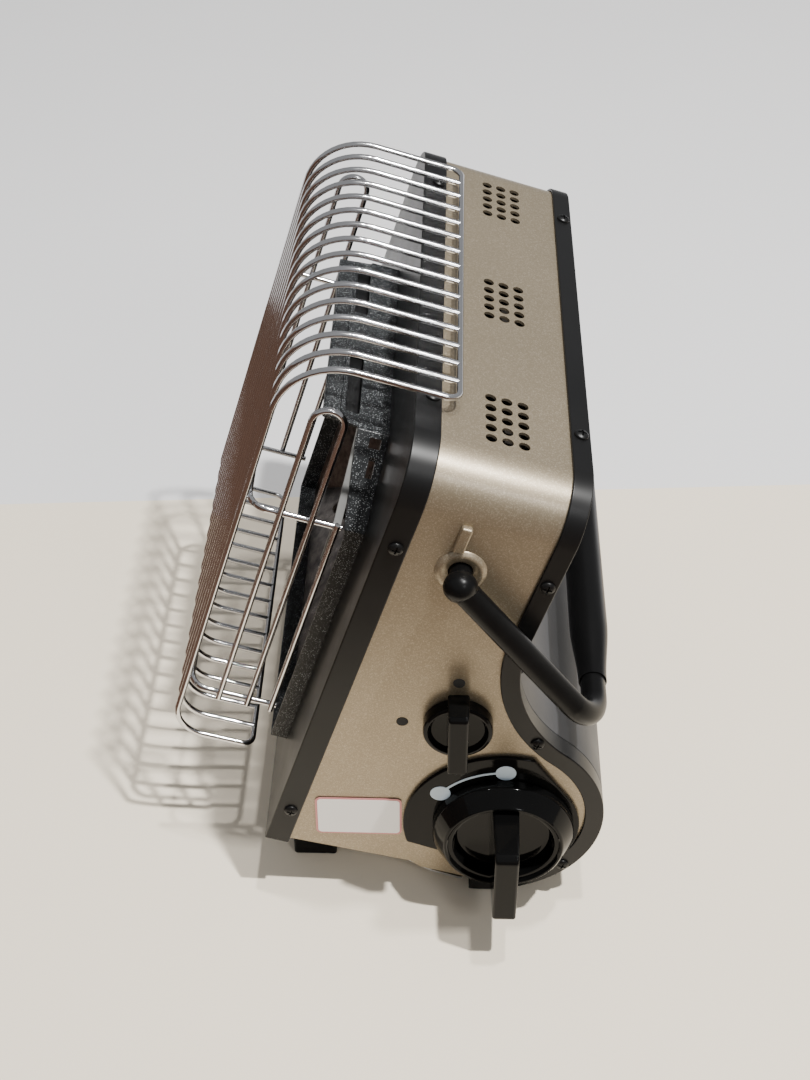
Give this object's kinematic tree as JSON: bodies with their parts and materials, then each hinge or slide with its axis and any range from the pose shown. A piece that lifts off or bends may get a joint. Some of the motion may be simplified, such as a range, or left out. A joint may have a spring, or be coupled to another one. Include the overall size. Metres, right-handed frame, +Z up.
{
  "type": "portable gas heater",
  "caption": "Portable radiant heater that burns cassette gas, with a wire guard, a swinging carrying handle, two side knobs and a canister compartment in the back.",
  "frame": {"origin": "centre of the object's box at the level of the surface it stands on", "axes": "+Z up, -Y out through the wire guard, +X towards the side with the knobs"},
  "size_m": [0.2906, 0.1824, 0.2517],
  "materials": {
    "gold_paint": "metallic champagne paint, satin",
    "black_frame": "satin black",
    "grey_panel": "satin dark grey",
    "speckled_enamel": "black enamel with fine pale speckle",
    "guard_chrome": "bright plated wire",
    "sheet_steel": "plain sheet",
    "brass": "turned",
    "gloss_black": "moulded, glossy",
    "handle_black": "satin black",
    "rubber": "matt",
    "ceramic": "unglazed",
    "can_paint": "plain light paint"
  },
  "bodies": {
    "case": {"shell_panel": "gold_paint", "front_frame": "black_frame", "rear_frame": "black_frame", "rear_panel": "grey_panel", "base_plate": "sheet_steel", "side_label": "can_paint", "front_foot_right": "handle_black", "front_foot_left": "handle_black", "rear_foot_right": "rubber", "rear_foot_left": "rubber", "burner_frame": "speckled_enamel", "reflector": "sheet_steel", "burner_plaque": "ceramic", "burner_box": "sheet_steel", "burner_mesh": "sheet_steel", "mixing_tube": "sheet_steel", "gas_nozzle": "brass", "gas_pipe": "brass", "ignition_electrode": "ceramic", "thermocouple": "brass", "sensor_bracket": "sheet_steel", "heat_shield": "sheet_steel", "can_cradle": "sheet_steel", "magnet_seat": "sheet_steel", "regulator": "brass", "igniter_body": "handle_black", "mode_valve": "brass", "tip_over_switch": "handle_black", "knob_escutcheon": "gloss_black", "guard_front": "guard_chrome", "guard_top": "guard_chrome", "guard_bottom": "guard_chrome", "guard_side_right": "guard_chrome", "guard_side_left": "guard_chrome", "screw_front_upper_right": "black_frame", "screw_front_upper_left": "black_frame", "screw_front_lower_right": "black_frame", "screw_front_lower_left": "black_frame", "screw_rear_upper_right": "black_frame", "screw_rear_upper_left": "black_frame", "screw_rear_middle_right": "black_frame", "screw_rear_middle_left": "black_frame", "screw_rear_lower_right": "black_frame", "screw_rear_lower_left": "black_frame", "screw_front_top_right": "black_frame", "screw_front_top_left": "black_frame", "screw_rear_top_right": "black_frame", "screw_rear_top_left": "black_frame"},
    "can": {"gas_canister": "can_paint"},
    "cover": {"can_cover": "grey_panel"},
    "ignition": {"ignition_knob": "gloss_black", "valve_spindle": "brass"},
    "igniter": {"igniter_plunger": "handle_black"},
    "mode": {"mode_knob": "gloss_black", "mode_spindle": "brass"},
    "handle": {"handle_bail": "handle_black", "handle_grip": "handle_black"}
  },
  "joints": [
    {"name": "handle_swing", "type": "hinge", "parent": "case", "child": "handle", "pos_m": [-0.0107, 0.02863, 0.18572], "axis": [1, 0, 0], "range_deg": [0, 143]},
    {"name": "ignition_knob_turn", "type": "hinge", "parent": "case", "child": "ignition", "pos_m": [-0.0107, 0.04939, 0.045], "axis": [1, 0, 0], "range_deg": [0, 60]},
    {"name": "igniter_plunger_slide", "type": "slide", "parent": "case", "child": "igniter", "axis": [0, -0.9563, 0.2924], "range_m": [0, 0.002]},
    {"name": "mode_knob_turn", "type": "hinge", "parent": "case", "child": "mode", "pos_m": [-0.0107, 0.02935, 0.1053], "axis": [1, 0, 0], "range_deg": [0, 90]},
    {"name": "can_cover_hinge", "type": "hinge", "parent": "case", "child": "cover", "pos_m": [-0.0107, 0.05256, 0.12771], "axis": [1, 0, 0], "range_deg": [0, 18]},
    {"name": "can_slide", "type": "slide", "parent": "case", "child": "can", "axis": [1, 0, 0], "range_m": [-0.004, 0]}
  ],
  "couplings": [
    {"joint": "igniter_plunger_slide", "follows": "ignition_knob_turn", "m_per_rad": 0.00172}
  ]
}
